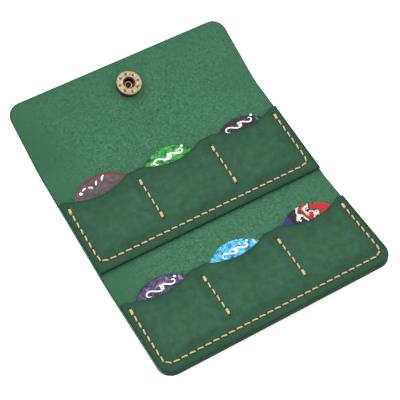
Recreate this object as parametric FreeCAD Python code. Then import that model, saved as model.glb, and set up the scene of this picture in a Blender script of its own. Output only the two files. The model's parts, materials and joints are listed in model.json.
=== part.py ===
"""Leather pick wallet: one long sheet that folds in three, two stitched rows of pockets, a snap and six picks.

Everything is drawn flat, as the leather is cut, and each panel is then placed where it lies when the
wallet is open. +X runs along the folds, +Y from the lower pockets to the flap, and +Z is up.
The origin is the middle of the centre panel's underside. All sizes are in millimetres.
"""
import FreeCAD, Part
import math
import os
from FreeCAD import Placement, Rotation, Vector

os.makedirs("parts", exist_ok=True)

# ---------------------------------------------------------------- driving dimensions: leather
WIDTH = 105.0             # along the folds
SHEET_T = 1.5             # main sheet
POCKET_T = 1.4            # pocket panels
FOLD_SPACING = 59.0       # between the two fold lines
FLAP_LEN = 32.4           # flap fold line to the flap's free edge
LOWER_LEN = 48.3          # lower fold line to the lower panel's free edge
SHEET_CORNER_R = 6.0      # the sheet's four outer corners
BEND_LEN = 10.0           # leather that is still curved when the wallet lies open
FLAP_TILT = 15.5          # degrees that the open flap stands up
LOWER_TILT = 8.0          # degrees that the open lower panel stands up

# ---------------------------------------------------------------- driving dimensions: pockets
UPPER_POCKET_H = 36.0     # bottom edge to the humps of the mouth
LOWER_POCKET_H = 36.7
UPPER_POCKET_GAP = 0.1    # bottom edge of the upper panel to the leather that folds
POCKET_SPACE = 1.0        # height inside a pocket
POCKET_RAMP = 2.0         # width over which the panel rises from a seam to that height
DIVIDER_X = 17.45         # the two divider seams, each side of the middle
DIP_X = 35.0              # spacing of the scalloped dips in the mouth
DIP_DEPTH = 4.4
DIP_R = 26.0
HUMP_R = 5.0              # rounding between a dip and a hump

# ---------------------------------------------------------------- driving dimensions: stitching
SEAM_SIDE = 2.95          # seam line to the panel's side edge
SEAM_BOTTOM = 4.05        # seam line to the panel's bottom edge
SEAM_CORNER_R = 2.5
SEAM_TO_SPACE = 1.0       # seam line to where a pocket begins
EDGE_SEAM_TOP = 3.2       # top stitch of the edge seam, below the humps
DIVIDER_SEAM_TOP = 4.6    # top of a divider seam, below the humps
DIVIDER_STITCHES = 6
STITCH_PITCH = 3.5
THREAD_W = 0.8
THREAD_PROUD = 0.3        # how far a stitch stands above the pocket panel
THREAD_SUNK = 0.4         # how deep its ends go before they turn down
THREAD_LEG = 0.5          # thread through the leather
THREAD_SLOPE = 0.7        # length over which a stitch dives into its hole

# ---------------------------------------------------------------- driving dimensions: picks
PICK_T = 0.8
PICK_CROWN_R = 15.0       # top edge
PICK_CORNER = (13.1, 8.3)     # where the crown and a side would meet, unrounded: out and down
PICK_POINT = 31.4         # where the two sides would meet, below the crown
PICK_SIDE_BULGE = 1.6
PICK_SHOULDER_R = 5.0
PICK_TIP_R = 3.5
PICK_EDGE = 0.2           # chamfer round the pick
PICK_LIFT = 0.1           # clearance under a pick
# Each pick's X, and its crown above the humps of the mouth.
PICKS = {
    "upper": {"left": (-33.0, 6.0), "middle": (-1.4, 4.4), "right": (33.5, 3.0)},
    "lower": {"left": (-34.0, 4.5), "middle": (-0.8, 4.4), "right": (34.0, 4.6)},
}

# ---------------------------------------------------------------- driving dimensions: snap
SNAP_FROM_EDGE = 12.4     # snap centre to the flap's free edge
CAP_R = 6.25
CAP_H = 2.0
CAP_SHELL = 0.4
POST_R = 1.4              # the cap's hollow post through the flap
POST_BORE_R = 1.0
POST_ROLL_R = 1.9         # its rolled end inside the socket
POST_ROLL_H = 0.45
SOCKET_R = 5.45
SOCKET_H = 3.4
SOCKET_WALL = 0.4
SOCKET_BORE_R = 2.6
SOCKET_EDGE_R = 0.35      # rounded rim
SPRING_WIRE_R = 0.3
SPRING_MEAN_R = 2.4
SPRING_GAP_ANGLE = 30.0
STUD_BASE_R = 4.6
STUD_BASE_H = 0.6
STUD_NECK_R = 1.95
STUD_HEAD_R = 2.35
STUD_HEAD_H = 2.3         # boss above the base plate
STUD_NECK_H = 1.3         # its waist, which the spring grips
RIVET_R = 1.4
RIVET_HEAD_R = 4.0
RIVET_HEAD_H = 0.4
HOLE_CLEARANCE = 0.05
TOUCH_CLEARANCE = 0.1     # socket face to stud base when shut
CLOSED_GAP = 0.2          # between the two pocket rows when shut

# ---------------------------------------------------------------- working sizes, which don't show on the wallet
BLANK_H = 8.0             # taller than any leather, for the block that a pocket panel is cut from
CUTTER_H = 10.0           # taller than the blank
MOUTH_OVERRUN = 1.0       # a pocket's space runs this far out of its mouth
TINY = 0.01               # tolerance for picking edges

# ---------------------------------------------------------------- worked out from the above
HALF_W = WIDTH / 2
FLAP_LINE = FOLD_SPACING / 2
LOWER_LINE = -FOLD_SPACING / 2
FLAP_EDGE = FLAP_LINE + FLAP_LEN
LOWER_EDGE = LOWER_LINE - LOWER_LEN

ROW_HEIGHT = POCKET_SPACE + POCKET_T
LOWER_FOLD_SPACE = 2 * ROW_HEIGHT + CLOSED_GAP
SNAP_SPACE = STUD_BASE_H + TOUCH_CLEARANCE + SOCKET_H
FLAP_FOLD_SPACE = LOWER_FOLD_SPACE + SHEET_T + SNAP_SPACE
# A shut fold is half a circle round the space inside it, so its leather is this long.
LOWER_ZONE = math.pi * (LOWER_FOLD_SPACE + SHEET_T) / 2
FLAP_ZONE = math.pi * (FLAP_FOLD_SPACE + SHEET_T) / 2

UPPER_POCKET_BOTTOM = LOWER_LINE + LOWER_ZONE / 2 + UPPER_POCKET_GAP
UPPER_MOUTH = UPPER_POCKET_BOTTOM + UPPER_POCKET_H
LOWER_MOUTH = LOWER_EDGE + LOWER_POCKET_H

SNAP_Y = FLAP_EDGE - SNAP_FROM_EDGE
# The stud lies where the shut flap brings the socket.
SNAP_Y_SHUT = 2 * FLAP_LINE - SNAP_Y
STUD_Y = 2 * LOWER_LINE - SNAP_Y_SHUT

X_AXIS = Vector(1, 0, 0)
Z_AXIS = Vector(0, 0, 1)
MIDDLE = Vector(0, 0, 0)


# ---------------------------------------------------------------- folds
def bent_point(line_y, side, tilt, along, height):
    """A point of the bend: along is its length from the bend's start, height is above the outer face."""
    radius = BEND_LEN / math.radians(tilt)
    start = line_y - side * BEND_LEN / 2
    turn = min(max(along / radius, 0), math.radians(tilt))
    straight = along - turn * radius
    depth = radius - (height - SHEET_T / 2)
    y = side * (depth * math.sin(turn) + straight * math.cos(turn))
    z = SHEET_T / 2 + radius - depth * math.cos(turn) + straight * math.sin(turn)
    return Vector(-HALF_W, start + y, z)


def panel_placement(line_y, side, tilt):
    """Moves a flat panel beyond a fold line to where it lies when the wallet is open."""
    bent_end = bent_point(line_y, side, tilt, BEND_LEN, SHEET_T / 2)
    bent_end.x = 0
    flat_end = Vector(0, line_y + side * BEND_LEN / 2, SHEET_T / 2)
    turned = Placement(bent_end, Rotation(X_AXIS, side * tilt))
    return turned.multiply(Placement(flat_end.negative(), Rotation()))


def fold_strip(line_y, side, tilt, zone):
    """The leather that bends: level, then curved, then sloping, as one strip."""
    lead = (zone - BEND_LEN) / 2
    stations = (-lead, 0, BEND_LEN / 2, BEND_LEN, BEND_LEN + lead)
    edges = []
    faces = []
    for height in (0, SHEET_T):
        points = [bent_point(line_y, side, tilt, along, height) for along in stations]
        edges.append(Part.LineSegment(points[0], points[1]).toShape())
        edges.append(Part.Arc(points[1], points[2], points[3]).toShape())
        edges.append(Part.LineSegment(points[3], points[4]).toShape())
        faces.append(points)
    for end in (0, -1):
        edges.append(Part.LineSegment(faces[0][end], faces[1][end]).toShape())
    outline = Part.Wire(Part.__sortEdges__(edges))
    return Part.Face(outline).extrude(X_AXIS * WIDTH)


def fold_axis(placement, line_y, side, tilt, zone, space):
    """The point in the YZ plane that the rigid panel turns about between open and shut."""
    rest = placement.multVec(Vector(0, line_y + side * zone / 2, 0))
    shut = Vector(0, line_y - side * zone / 2, 2 * SHEET_T + space)
    travel = shut - rest
    half_turn = math.radians(side * (180 - tilt)) / 2
    across = Vector(0, -travel.z, travel.y)
    return (rest + shut) * 0.5 + across * (1 / (2 * math.tan(half_turn)))


# ---------------------------------------------------------------- leather panels
def upright_edges(solid, y=None):
    """The solid's edges along Z, or only those at y."""
    upright = [edge for edge in solid.Edges if edge.BoundBox.XLength + edge.BoundBox.YLength < TINY]
    return [edge for edge in upright if y is None or abs(edge.CenterOfMass.y - y) < TINY]


def plate(low, high, rounded_y=None):
    """A flat plate between two corners, with its two corners at rounded_y rounded."""
    size = high - low
    solid = Part.makeBox(size.x, size.y, size.z, low)
    if rounded_y is None:
        return solid
    return solid.makeFillet(SHEET_CORNER_R, upright_edges(solid, rounded_y))


def sheet_plate(y_low, y_high, rounded_y=None):
    return plate(Vector(-HALF_W, y_low, 0), Vector(HALF_W, y_high, SHEET_T), rounded_y)


def pocket_frustum(x_low, x_high, y_low, y_high, base_z):
    """The space inside one pocket: its sides and bottom slope, and it is open at the mouth."""
    def rectangle(inset, z):
        points = [
            Vector(x_low + inset, y_low + inset, z),
            Vector(x_high - inset, y_low + inset, z),
            Vector(x_high - inset, y_high, z),
            Vector(x_low + inset, y_high, z),
        ]
        return Part.makePolygon(points + points[:1])
    return Part.makeLoft([rectangle(0, base_z), rectangle(POCKET_RAMP, base_z + POCKET_SPACE)], True, True)


def pocket_spaces(bottom_y, mouth_y, base_z):
    """The three pocket spaces of one row."""
    outer = HALF_W - SEAM_SIDE - SEAM_TO_SPACE
    inner = DIVIDER_X + SEAM_TO_SPACE
    middle = DIVIDER_X - SEAM_TO_SPACE
    y_low = bottom_y + SEAM_BOTTOM + SEAM_TO_SPACE
    spans = ((-outer, -inner), (-middle, middle), (inner, outer))
    return [pocket_frustum(low, high, y_low, mouth_y, base_z) for low, high in spans]


def mouth_cutters(mouth_y):
    """Three upright cylinders that cut the dips into the mouth."""
    centre_y = mouth_y - DIP_DEPTH + DIP_R
    return [
        Part.makeCylinder(DIP_R, CUTTER_H, Vector(column * DIP_X, centre_y, 0))
        for column in (-1, 0, 1)
    ]


def mouth_blank(bottom_y, mouth_y, rounded_y):
    """The outline of a pocket panel as a thick block: dips, rounded humps and, if asked, round corners."""
    low = Vector(-HALF_W, bottom_y, 0)
    high = Vector(HALF_W, mouth_y, BLANK_H)
    block = plate(low, high, rounded_y)
    for cutter in mouth_cutters(mouth_y):
        block = block.cut(cutter)
    humps = [edge for edge in upright_edges(block, mouth_y) if abs(edge.CenterOfMass.x) < HALF_W - TINY]
    return block.makeFillet(HUMP_R, humps)


def pocket_panel(bottom_y, mouth_y, rounded_y=None):
    """A pocket panel: it lies on the sheet at the seams and bulges over each pick."""
    top = SHEET_T + POCKET_T
    slab = plate(Vector(-HALF_W, bottom_y, SHEET_T), Vector(HALF_W, mouth_y, top))
    bulged = slab.multiFuse(pocket_spaces(bottom_y, mouth_y, top))
    spaces = Part.makeCompound(pocket_spaces(bottom_y, mouth_y + MOUTH_OVERRUN, SHEET_T))
    return bulged.common(mouth_blank(bottom_y, mouth_y, rounded_y)).cut(spaces)


# ---------------------------------------------------------------- stitching
def stitch(start, end):
    """One stitch: a dash on each face of the leather and the thread between them at its far hole."""
    length = (end - start).Length
    top = SHEET_T + POCKET_T
    deep = top - THREAD_SUNK
    leg = length - THREAD_LEG
    outline = [
        (0, deep),
        (THREAD_SLOPE, top + THREAD_PROUD),
        (length - THREAD_SLOPE, top + THREAD_PROUD),
        (length, deep),
        (length, THREAD_SUNK),
        (length - THREAD_SLOPE, 0),
        (THREAD_SLOPE, 0),
        (0, THREAD_SUNK),
        (THREAD_LEG, THREAD_SUNK + THREAD_PROUD),
        (leg, THREAD_SUNK + THREAD_PROUD),
        (leg, deep - THREAD_PROUD),
        (THREAD_LEG, deep - THREAD_PROUD),
    ]
    points = [Vector(along, -THREAD_W / 2, z) for along, z in outline]
    solid = Part.Face(Part.makePolygon(points + points[:1])).extrude(Vector(0, THREAD_W, 0))
    heading = math.degrees(math.atan2(end.y - start.y, end.x - start.x))
    solid.Placement = Placement(start, Rotation(Z_AXIS, heading))
    return solid


def seam(holes):
    """A whole seam, from its list of needle holes."""
    stitches = [stitch(start, end) for start, end in zip(holes, holes[1:])]
    return stitches[0].multiFuse(stitches[1:])


def edge_seam(bottom_y, mouth_y):
    """The U-shaped seam down one side of a pocket panel, along its bottom and up the other side."""
    x = HALF_W - SEAM_SIDE
    y_low = bottom_y + SEAM_BOTTOM
    y_high = mouth_y - EDGE_SEAM_TOP
    block = Part.makeBox(2 * x, y_high - y_low, SHEET_T, Vector(-x, y_low, 0))
    rounded = block.makeFillet(SEAM_CORNER_R, upright_edges(block, y_low))
    floor_edges = [
        edge for edge in rounded.Edges
        if edge.BoundBox.ZMax < TINY and edge.BoundBox.YMin < y_high - TINY
    ]
    path = Part.Wire(Part.__sortEdges__(floor_edges))
    count = round(path.Length / STITCH_PITCH)
    return seam(path.discretize(Number=count + 1))


def divider_seam(x, mouth_y):
    """The straight seam between two pockets."""
    y_high = mouth_y - DIVIDER_SEAM_TOP
    return seam([Vector(x, y_high - STITCH_PITCH * index, 0) for index in range(DIVIDER_STITCHES + 1)])


# ---------------------------------------------------------------- snap
def turned(profile, y):
    """A solid of revolution about the upright line through (0, y), from (radius, height) corners."""
    points = [Vector(radius, 0, height) for radius, height in profile]
    solid = Part.Face(Part.makePolygon(points + points[:1])).revolve(MIDDLE, Z_AXIS, 360)
    solid.translate(Vector(0, y, 0))
    return solid


def hole(radius, y):
    """A cutter for a round hole through the sheet."""
    return Part.makeCylinder(radius + HOLE_CLEARANCE, CUTTER_H, Vector(0, y, -CUTTER_H / 2))


def snap_cap(y):
    """Domed cap on the flap's outer face, with its hollow post rolled over inside the socket."""
    dome_r = (CAP_R ** 2 + CAP_H ** 2) / (2 * CAP_H)
    centre_z = dome_r - CAP_H
    outer = Part.makeSphere(dome_r, Vector(0, y, centre_z))
    inner = Part.makeSphere(dome_r - CAP_SHELL, Vector(0, y, centre_z))
    below = Part.makeCylinder(2 * CAP_R, CAP_H, Vector(0, y, -CAP_H))
    shell = outer.cut(inner).common(below)
    plate_r = CAP_R - 2 * CAP_SHELL
    roll_low = SHEET_T + SOCKET_WALL
    roll_high = roll_low + POST_ROLL_H
    post = turned([
        (0, -CAP_SHELL),
        (plate_r, -CAP_SHELL),
        (plate_r, 0),
        (POST_R, 0),
        (POST_R, roll_low),
        (POST_ROLL_R, roll_low),
        (POST_ROLL_R, roll_high),
        (POST_BORE_R, roll_high),
        (POST_BORE_R, 0),
        (0, 0),
    ], y)
    return shell.fuse(post)


def snap_socket(y):
    """The socket drum on the flap's inner face, open towards the stud."""
    low = SHEET_T
    high = SHEET_T + SOCKET_H
    neck_r = POST_R + HOLE_CLEARANCE
    chamber_r = SOCKET_R - 2 * SOCKET_WALL
    return turned([
        (neck_r, low),
        (SOCKET_R, low),
        (SOCKET_R, high - SOCKET_EDGE_R),
        (SOCKET_R - SOCKET_EDGE_R, high),
        (SOCKET_BORE_R, high),
        (SOCKET_BORE_R, high - SOCKET_WALL),
        (chamber_r, high - SOCKET_WALL),
        (chamber_r, low + SOCKET_WALL),
        (neck_r, low + SOCKET_WALL),
    ], y)


def snap_spring(y):
    """Split wire ring under the socket's face, which grips the stud's neck."""
    z = SHEET_T + SOCKET_H - SOCKET_WALL - SPRING_WIRE_R
    circle = Part.makeCircle(SPRING_WIRE_R, Vector(SPRING_MEAN_R, 0, 0), Vector(0, 1, 0))
    ring = Part.Face(Part.Wire(circle)).revolve(MIDDLE, Z_AXIS, 360 - SPRING_GAP_ANGLE)
    ring.translate(Vector(0, y, z))
    return ring


def snap_stud(y):
    """Stud on the lower panel's outer face: a base plate and a waisted boss, bored for the rivet."""
    base = -STUD_BASE_H
    tip = base - STUD_HEAD_H
    bore_r = RIVET_R + HOLE_CLEARANCE
    neck_end = base - STUD_NECK_H
    head_z = neck_end - (STUD_HEAD_R - STUD_NECK_R)
    return turned([
        (bore_r, 0),
        (STUD_BASE_R, 0),
        (STUD_BASE_R - STUD_BASE_H / 2, base),
        (STUD_NECK_R, base),
        (STUD_NECK_R, neck_end),
        (STUD_HEAD_R, head_z),
        (STUD_NECK_R, tip),
        (bore_r, tip),
    ], y)


def stud_rivet(y):
    """Rivet that holds the stud: its head is pressed flush into the lower panel's inner face."""
    tip = -STUD_BASE_H - STUD_HEAD_H
    return turned([
        (0, SHEET_T),
        (RIVET_HEAD_R, SHEET_T),
        (RIVET_HEAD_R, SHEET_T - RIVET_HEAD_H),
        (RIVET_R, SHEET_T - RIVET_HEAD_H),
        (RIVET_R, tip),
        (0, tip),
    ], y)


def rivet_seat(y):
    """The recess that the rivet's head presses into the leather."""
    return Part.makeCylinder(RIVET_HEAD_R, SHEET_T, Vector(0, y, SHEET_T - RIVET_HEAD_H))


# ---------------------------------------------------------------- picks
def pick(x, crown_y):
    """A rounded triangular pick, tip down in its pocket."""
    out, down = PICK_CORNER
    left = Vector(-out, -down, 0)
    right = Vector(out, -down, 0)
    tip = Vector(0, -PICK_POINT, 0)
    crown = Vector(0, PICK_CROWN_R - math.sqrt(PICK_CROWN_R ** 2 - out ** 2) - down, 0)
    edges = [Part.Arc(left, crown, right).toShape()]
    for start, end in ((right, tip), (tip, left)):
        run = end - start
        outward = Vector(-run.y, run.x, 0).normalize()
        edges.append(Part.Arc(start, (start + end) * 0.5 + outward * PICK_SIDE_BULGE, end).toShape())
    solid = Part.Face(Part.Wire(edges)).extrude(Vector(0, 0, PICK_T))
    for corner, radius in ((left, PICK_SHOULDER_R), (right, PICK_SHOULDER_R), (tip, PICK_TIP_R)):
        at_corner = [edge for edge in upright_edges(solid, corner.y) if edge.CenterOfMass.x * corner.x >= 0]
        solid = solid.makeFillet(radius, at_corner)
    rims = [edge for edge in solid.Edges if edge.BoundBox.ZLength < TINY]
    solid = solid.makeChamfer(PICK_EDGE, rims)
    solid.translate(Vector(x, crown_y - solid.BoundBox.YMax, SHEET_T + PICK_LIFT))
    return solid


# ---------------------------------------------------------------- the wallet, node by node
def pocket_row(row, bottom_y, mouth_y, rounded_y=None):
    """One row of pockets: its panel, and the three seams whose thread is pressed into the leather."""
    return {
        row + "_pocket_panel": pocket_panel(bottom_y, mouth_y, rounded_y),
        row + "_edge_stitching": edge_seam(bottom_y, mouth_y),
        row + "_left_divider_stitching": divider_seam(-DIVIDER_X, mouth_y),
        row + "_right_divider_stitching": divider_seam(DIVIDER_X, mouth_y),
    }


def row_picks(row, mouth_y):
    """The three picks of a row."""
    return {
        row + "_" + name + "_pick": pick(x, mouth_y + rise)
        for name, (x, rise) in PICKS[row].items()
    }


def build_centre():
    """The centre panel with the upper row, and the two strips that bend."""
    nodes = pocket_row("upper", UPPER_POCKET_BOTTOM, UPPER_MOUTH)
    nodes["centre_leather"] = sheet_plate(LOWER_LINE + LOWER_ZONE / 2, FLAP_LINE - FLAP_ZONE / 2)
    nodes["flap_fold_leather"] = fold_strip(FLAP_LINE, 1, FLAP_TILT, FLAP_ZONE)
    nodes["lower_fold_leather"] = fold_strip(LOWER_LINE, -1, LOWER_TILT, LOWER_ZONE)
    nodes.update(row_picks("upper", UPPER_MOUTH))
    return nodes


def build_lower():
    """The lower panel with the lower row and the stud."""
    sheet = sheet_plate(LOWER_EDGE, LOWER_LINE - LOWER_ZONE / 2, LOWER_EDGE)
    nodes = pocket_row("lower", LOWER_EDGE, LOWER_MOUTH, LOWER_EDGE)
    nodes["lower_leather"] = sheet.cut(hole(RIVET_R, STUD_Y)).cut(rivet_seat(STUD_Y))
    nodes["snap_stud"] = snap_stud(STUD_Y)
    nodes["stud_rivet"] = stud_rivet(STUD_Y)
    nodes.update(row_picks("lower", LOWER_MOUTH))
    return nodes


def build_flap():
    """The flap and the snap's cap, socket and spring."""
    sheet = sheet_plate(FLAP_LINE + FLAP_ZONE / 2, FLAP_EDGE, FLAP_EDGE)
    return {
        "flap_leather": sheet.cut(hole(POST_R, SNAP_Y)),
        "snap_cap": snap_cap(SNAP_Y),
        "snap_socket": snap_socket(SNAP_Y),
        "snap_spring": snap_spring(SNAP_Y),
    }


def placed(nodes, placement):
    """Each shape moved from the flat layout to where it lies."""
    for shape in nodes.values():
        shape.Placement = placement.multiply(shape.Placement)
    return nodes


flap_placement = panel_placement(FLAP_LINE, 1, FLAP_TILT)
lower_placement = panel_placement(LOWER_LINE, -1, LOWER_TILT)

wallet = build_centre()
wallet.update(placed(build_lower(), lower_placement))
wallet.update(placed(build_flap(), flap_placement))

for name, shape in wallet.items():
    shape.exportStep("parts/" + name + ".step")
    print(name, "solids", len(shape.Solids), "faces", len(shape.Faces), "valid", shape.isValid(),
          "volume", round(shape.Volume, 2))

flap_axis = fold_axis(flap_placement, FLAP_LINE, 1, FLAP_TILT, FLAP_ZONE, FLAP_FOLD_SPACE)
lower_axis = fold_axis(lower_placement, LOWER_LINE, -1, LOWER_TILT, LOWER_ZONE, LOWER_FOLD_SPACE)
into_lower = lower_placement.Rotation.multVec(Vector(0, -1, 0))
print("flap fold axis", flap_axis, "opens", -FLAP_TILT, "shuts", 180 - FLAP_TILT)
print("lower fold axis", lower_axis, "opens", -LOWER_TILT, "shuts", 180 - LOWER_TILT)
print("into the lower pockets", into_lower)
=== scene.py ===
"""Looks of the leather pick wallet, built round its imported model.

Two leather sheets bend at the folds. On them are two pocket panels, waxed stitching, a press snap and six picks.
Every shape is drawn in the wallet's flat layout, in millimetres: x along the folds, s along the flat leather from
the lower pockets to the flap, and h above the leather's outer face. place() then puts it where it lies when open.
"""
import json
import math

import bpy
import numpy as np
from mathutils import Matrix, Vector


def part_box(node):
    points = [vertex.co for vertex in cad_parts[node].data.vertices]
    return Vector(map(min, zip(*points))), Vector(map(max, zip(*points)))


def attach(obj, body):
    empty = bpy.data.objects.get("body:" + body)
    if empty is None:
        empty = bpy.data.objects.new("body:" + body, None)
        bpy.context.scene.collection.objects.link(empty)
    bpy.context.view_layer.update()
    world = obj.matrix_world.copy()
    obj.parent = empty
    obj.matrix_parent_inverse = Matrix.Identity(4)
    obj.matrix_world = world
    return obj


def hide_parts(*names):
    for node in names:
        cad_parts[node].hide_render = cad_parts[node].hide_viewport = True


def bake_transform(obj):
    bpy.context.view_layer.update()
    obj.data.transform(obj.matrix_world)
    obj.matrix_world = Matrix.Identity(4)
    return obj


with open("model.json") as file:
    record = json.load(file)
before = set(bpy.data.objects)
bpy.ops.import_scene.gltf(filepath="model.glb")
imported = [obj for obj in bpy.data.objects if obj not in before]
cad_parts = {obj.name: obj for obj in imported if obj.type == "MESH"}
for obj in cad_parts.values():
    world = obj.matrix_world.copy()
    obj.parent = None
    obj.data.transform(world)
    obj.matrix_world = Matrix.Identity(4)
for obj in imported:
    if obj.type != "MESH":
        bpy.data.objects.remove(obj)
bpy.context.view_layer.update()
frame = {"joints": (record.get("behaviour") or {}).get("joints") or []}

MM = 0.001


def box_mm(node):
    low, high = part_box(node)
    return low / MM, high / MM


# ---- leather, from the frame and a few named sizes
joints = {joint["name"]: joint for joint in frame["joints"]}
centre_high = box_mm("centre_leather")[1]
upper_low, upper_high = box_mm("upper_pocket_panel")
HALF_W = centre_high.x
SHEET_T = centre_high.z
POCKET_T = 1.4
POCKET_SPACE = upper_high.z - SHEET_T - POCKET_T
FOLD_LINE = 29.5          # each fold line, either side of the middle
FLAP_EDGE = 61.9
LOWER_EDGE = -77.8
BEND_LEN = 10.0
SHEET_CORNER_R = 6.0
FLAP_TILT = -joints["flap_fold"]["range_deg"][0]
LOWER_TILT = -joints["lower_fold"]["range_deg"][0]
SPLIT = -6.0              # the two sheets meet under the upper pockets
CUT_R = 0.32              # rounding of a cut edge
FINE = 0.4                # mesh spacing at the stitching
COARSE = 0.8

# ---- pockets and stitching
UPPER_POCKET_BOTTOM = upper_low.y
UPPER_MOUTH = upper_high.y
LOWER_MOUTH = LOWER_EDGE + 36.7
DIVIDER_X = 17.45
DIP_X = 35.0
DIP_DEPTH = 4.4
DIP_R = 26.0
HUMP_R = 5.0
SEAM_SIDE = 2.95
SEAM_BOTTOM = 4.05
SEAM_CORNER_R = 2.5
SEAM_TO_SPACE = 1.0
EDGE_SEAM_TOP = 3.2
DIVIDER_SEAM_TOP = 4.6
DIVIDER_STITCHES = 6
STITCH_PITCH = 3.5
STITCH_SLANT = math.radians(7)
THREAD_HALF_W = 0.36
THREAD_HALF_H = 0.24
THREAD_PLIES = 3
THREAD_TWIST = 1.7        # length of one turn of the plies
GROOVE_DEPTH = 0.16       # the thread pulls the leather in along a seam
GROOVE_WIDTH = 0.8
OUTER_GROOVE = 0.32       # and more so on the outer side, where it lies flush
OUTER_SINK = 0.26         # the outer stitches' line, above the outer face
CORNER_FADE = 14.0        # length over which a sheet's rows bend round to its corners
FOLD_THINNING = 0.2       # the inner face is skived along each fold
THIN_LINE = 27.5
THIN_WIDTH = 4
HOLE_DEPTH = 0.6          # the needle holes are short slanted slits
HOLE_LENGTH = 0.62
HOLE_WIDTH = 0.42
HOLE_TURN = math.radians(35)
STRAND_STEPS = 15         # rings of points along a stitch, and points round each
STRAND_AROUND = 12
STRAND_INSET = 0.24       # a stitch ends this short of its holes,
STRAND_DIVE = 0.5         # this deep under its level,
STRAND_RISE = 0.58        # and rises by this much
DOUBLED_GAP = 0.24        # half the distance between doubled stitches

# ---- picks
PICK_T = 0.8
PICK_H = SHEET_T + 0.1    # underside of a pick
PICK_CROWN_R = 15.0
PICK_CORNER = (13.1, 8.3)
PICK_POINT = 31.4
PICK_SIDE_BULGE = 1.6
PICK_SHOULDER_R = 5.0
PICK_TIP_R = 3.5
PICK_MIDDLE = -11.5       # where its faces' rings close in
SCROLL_CURL = 1.45        # half turns at each end of a printed scroll
SCROLL_LEAN = math.radians(-38)
SCROLL_WEIGHT = 0.33
INK_T = 0.025
INK_SINK = 0.004
PICK_EDGE = ((0.5, 0.985), (0.26, 0.92), (0.11, 0.75), (0.03, 0.45), (0.0, 0.0))    # inset, share of the height
PICK_HALF_W = 12.6        # what the pocket swells over: its half width,
PICK_WIDEST = 9           # how far below the crown's top it starts to narrow,
PICK_TAPER = 26           # and over what length
BESIDE_PICK = 0.42        # share of the swell lost beside a pick
# Each pick's x, and how far its crown stands above the humps of the mouth.
PICKS = {
    "upper": {"left": (-33.0, 6.0), "middle": (-1.4, 4.4), "right": (33.5, 3.0)},
    "lower": {"left": (-34.0, 4.5), "middle": (-0.8, 4.4), "right": (34.0, 4.6)},
}

# ---- snap
SNAP_S = 49.5
STUD_S = -68.5
SOCKET_R = 5.45
SOCKET_TOP = SHEET_T + 3.4
SOCKET_RIM_R = 4.95       # pressed rings
SOCKET_LIP_R = 3.36
CAP_RING_R = 4.7
STUD_RING_R = 3.4
STUD_TIP = -2.9
DIMPLES = 8
DIMPLE_R = 4.1
DIMPLE_PHASE = math.radians(-6.5)
DIMPLE_HALF = 0.86
DIMPLE_SLOPE = 0.5
DIMPLE_DEPTH = 0.34
RING_DEPTH = 0.12

# ---- view
CAM_AZIMUTH = -34.753
CAM_ELEVATION = 59.634
CAM_DISTANCE = 481.28
CAM_ROLL = 5.284
CAM_LENS = 104.24
CAM_TARGET = Vector((0.752, -12.474, 0))


# ==== flat layout and meshes
def place(points):
    """Flat (x, s, h) points, in millimetres, to where they lie in the row frame, in millimetres."""
    points = np.asarray(points, float)
    x, s, h = points[:, 0], points[:, 1], points[:, 2]
    side = np.where(s > 0, 1.0, -1.0)
    tilt = np.radians(np.where(s > 0, FLAP_TILT, LOWER_TILT))
    radius = BEND_LEN / tilt
    along = side * s - FOLD_LINE + BEND_LEN / 2
    turn = np.clip(along / radius, 0, tilt)
    straight = along - turn * radius
    depth = radius - (h - SHEET_T / 2)
    y = side * (FOLD_LINE - BEND_LEN / 2 + depth * np.sin(turn) + straight * np.cos(turn))
    z = SHEET_T / 2 + radius - depth * np.cos(turn) + straight * np.sin(turn)
    return np.stack([x, y, z], 1)


def link(obj):
    bpy.context.scene.collection.objects.link(obj)


def build(name, flat, faces, slots, face_slots=None, **masks):
    """A mesh object from flat points. It carries them, and any masks, as attributes for its materials."""
    mesh = bpy.data.meshes.new(name)
    mesh.from_pydata((place(flat) * MM).tolist(), [], faces)
    mesh.attributes.new("flat", "FLOAT_VECTOR", "POINT").data.foreach_set("vector", np.ravel(flat))
    for mask, values in masks.items():
        mesh.attributes.new(mask, "FLOAT", "POINT").data.foreach_set("value", values)
    for material in slots:
        mesh.materials.append(material)
    if face_slots is not None:
        mesh.polygons.foreach_set("material_index", face_slots)
    mesh.shade_smooth()
    obj = bpy.data.objects.new(name, mesh)
    link(obj)
    return obj


def bands(rings, around, closed=False, flip=False):
    """Quads that join rings of points, each to the next, and the last to the first if closed."""
    faces = []
    for k in range(rings if closed else rings - 1):
        here, above = k * around, (k + 1) % rings * around
        for m in range(around):
            n = (m + 1) % around
            a, b, c, d = here + m, here + n, above + n, above + m
            faces.append((a, d, c, b) if flip else (a, b, c, d))
    return faces


def tube(rings, around, flip=False):
    """Faces of a closed tube: its bands and its two ends."""
    first = tuple(range(around))
    last = tuple(range((rings - 1) * around, rings * around))
    return bands(rings, around, flip=flip) + ([first, last[::-1]] if flip else [first[::-1], last])


def smooth(t):
    """From 0 at t = 0 to 1 at t = 1, level at both ends."""
    t = np.clip(t, 0, 1)
    return t * t * (3 - 2 * t)


def turned(x, y, angle):
    """x and y, turned anticlockwise."""
    cos, sin = math.cos(angle), math.sin(angle)
    return x * cos - y * sin, x * sin + y * cos


def bell(off, width):
    """1 where off is 0, and next to nothing two widths away."""
    return np.exp(-((off / width) ** 2))


def stations(*spans):
    """Values from the first span's start to the last one's end, each span (end, step) with even steps."""
    values = [spans[0]]
    for end, step in spans[1:]:
        count = max(1, round((end - values[-1]) / step))
        values += np.linspace(values[-1], end, count + 1)[1:].tolist()
    return np.array(values)


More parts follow.
